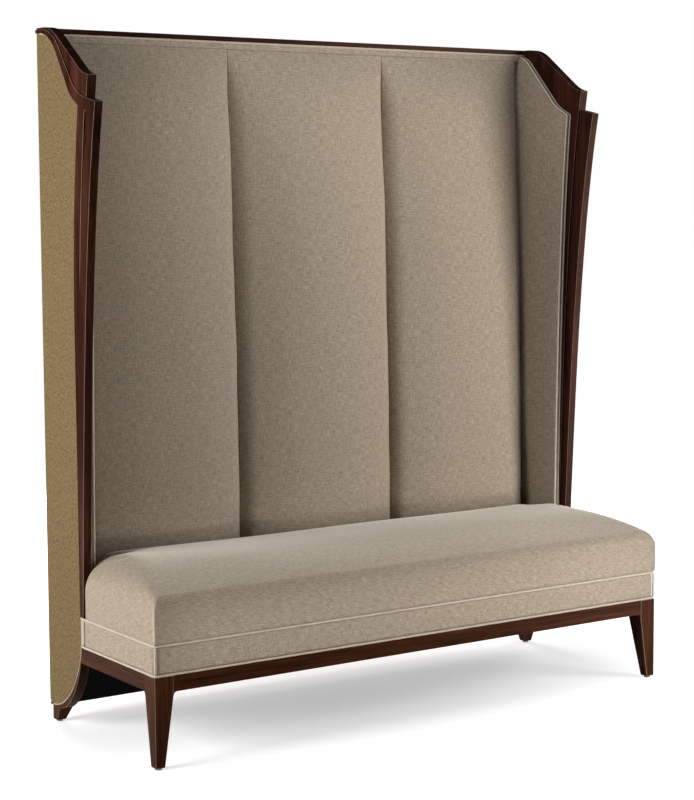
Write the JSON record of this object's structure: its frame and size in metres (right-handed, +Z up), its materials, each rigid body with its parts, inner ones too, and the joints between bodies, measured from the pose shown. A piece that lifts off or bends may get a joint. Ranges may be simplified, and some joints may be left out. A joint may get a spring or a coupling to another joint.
{
  "type": "high-back winged banquette settee",
  "caption": "Tall upholstered settee with a channelled high back, stepped ogee wing boards, tight crowned bench seat and tapered wooden legs.",
  "frame": {"origin": "on the floor, below the middle of the overall box", "axes": "+X to the right as seen from the front, +Y to the back, +Z up"},
  "size_m": [1.702, 0.62, 1.895],
  "materials": {
    "dark_wood": "dark polished wood with a satin sheen",
    "gold_weave": "gold-tan woven cloth, slightly lustrous",
    "taupe_weave": "taupe fine-ribbed velvety cloth",
    "light_piping": "light tan piping cord covered in cloth",
    "jute_webbing": "plain jute webbing",
    "hessian": "open plain hessian",
    "black_cloth": "matt black lining cloth",
    "steel": "plain bright steel",
    "frame_wood": "unfinished sawn hardwood"
  },
  "bodies": {
    "root": {"back_bottom_rail": "frame_wood", "back_hessian": "hessian", "back_webbing": "jute_webbing", "dust_cover": "black_cloth", "frame_dowels": "frame_wood", "front_boxing": "taupe_weave", "front_rail": "dark_wood", "glides": "steel", "left_back_channel": "taupe_weave", "left_back_cross_rail": "frame_wood", "left_front_corner_block": "frame_wood", "left_front_leg": "dark_wood", "left_inner_back_post": "frame_wood", "left_outer_back_post": "frame_wood", "left_outside_wing_panel": "gold_weave", "left_rear_corner_block": "frame_wood", "left_rear_foot": "dark_wood", "left_seat_frame_side": "frame_wood", "left_seat_stretcher": "frame_wood", "left_side_boxing": "taupe_weave", "left_side_rail": "dark_wood", "left_wing_inner_board": "dark_wood", "left_wing_outer_board": "dark_wood", "left_wing_pad": "taupe_weave", "lower_back_cover": "black_cloth", "middle_back_channel": "taupe_weave", "middle_back_cross_rail": "frame_wood", "outside_back_panel": "gold_weave", "rail_welt": "light_piping", "right_back_channel": "taupe_weave", "right_back_cross_rail": "frame_wood", "right_front_corner_block": "frame_wood", "right_front_leg": "dark_wood", "right_inner_back_post": "frame_wood", "right_outer_back_post": "frame_wood", "right_outside_wing_panel": "gold_weave", "right_rear_corner_block": "frame_wood", "right_rear_foot": "dark_wood", "right_seat_frame_side": "frame_wood", "right_seat_stretcher": "frame_wood", "right_side_boxing": "taupe_weave", "right_side_rail": "dark_wood", "right_wing_inner_board": "dark_wood", "right_wing_outer_board": "dark_wood", "right_wing_pad": "taupe_weave", "seat_cushion": "taupe_weave", "seat_frame_front": "frame_wood", "seat_frame_rear": "frame_wood", "seat_hessian": "hessian", "seat_seam_welt": "light_piping", "seat_webbing_deep": "jute_webbing", "seat_webbing_wide": "jute_webbing", "top_rail": "dark_wood", "upright_welts": "light_piping", "wing_bolts": "steel"}
  },
  "joints": []
}
